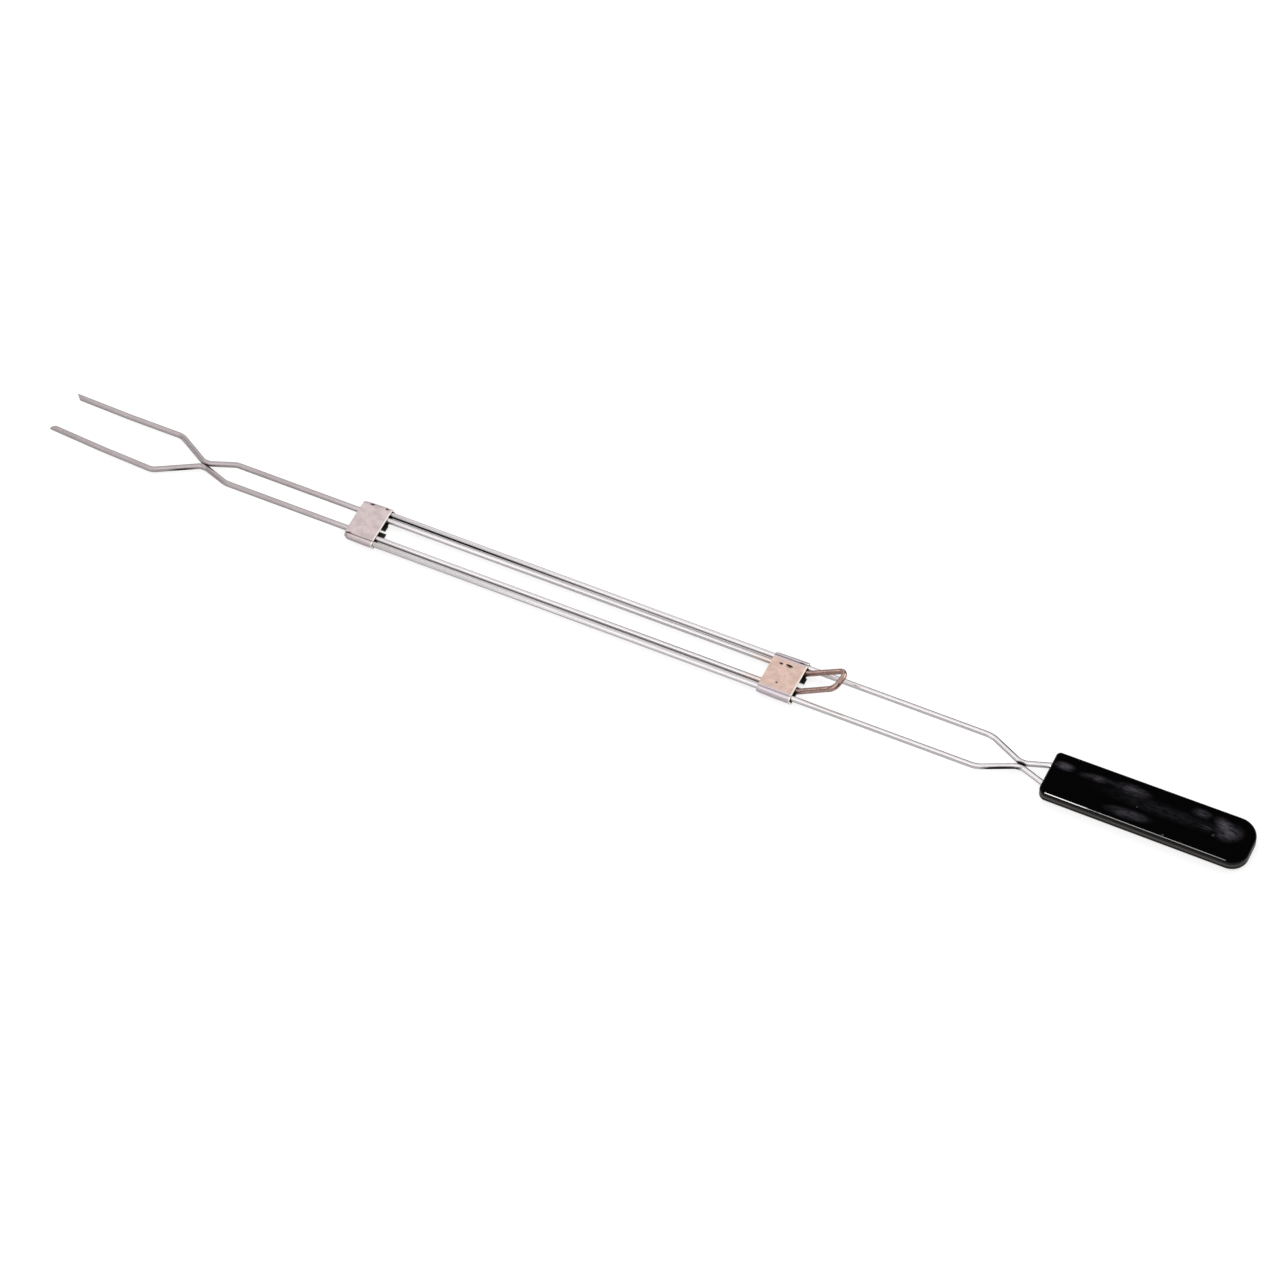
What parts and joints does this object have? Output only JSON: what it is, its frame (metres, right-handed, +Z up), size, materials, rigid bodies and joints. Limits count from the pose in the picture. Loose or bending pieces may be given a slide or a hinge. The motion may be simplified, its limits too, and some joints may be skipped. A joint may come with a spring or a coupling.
{
  "type": "marshmallow roasting fork",
  "caption": "Extending campfire roasting fork: chisel-tipped wire tines slide on wire rails through folded clips, with a thumb loop and a flat black grip.",
  "frame": {"origin": "middle of the underside of the whole fork at rest, on the plane that the grip lies on", "axes": "+X from the tines to the rear of the grip, +Y to the right of someone holding the grip, +Z up out of the grip's top face"},
  "size_m": [0.7044, 0.0312, 0.0212],
  "materials": {
    "chrome_wire": "plated wire, fine draw lines",
    "clip_plating": "satin plated sheet",
    "copper_wire": "copper-brown tinted wire",
    "black_plastic": "moulded gloss with handling haze",
    "pin_steel": "plain"
  },
  "bodies": {
    "handle": {"handle_rail_right": "chrome_wire", "handle_rail_left": "chrome_wire", "front_clip": "clip_plating", "grip_upper_scale": "black_plastic", "grip_lower_scale": "black_plastic", "grip_pin": "pin_steel"},
    "fork": {"fork_rod_right": "chrome_wire", "fork_rod_left": "chrome_wire", "rear_clip": "clip_plating", "thumb_loop": "copper_wire"}
  },
  "joints": [
    {"name": "fork_slide", "type": "slide", "parent": "handle", "child": "fork", "axis": [-1, 0, 0], "range_m": [-0.07, 0.225]}
  ]
}
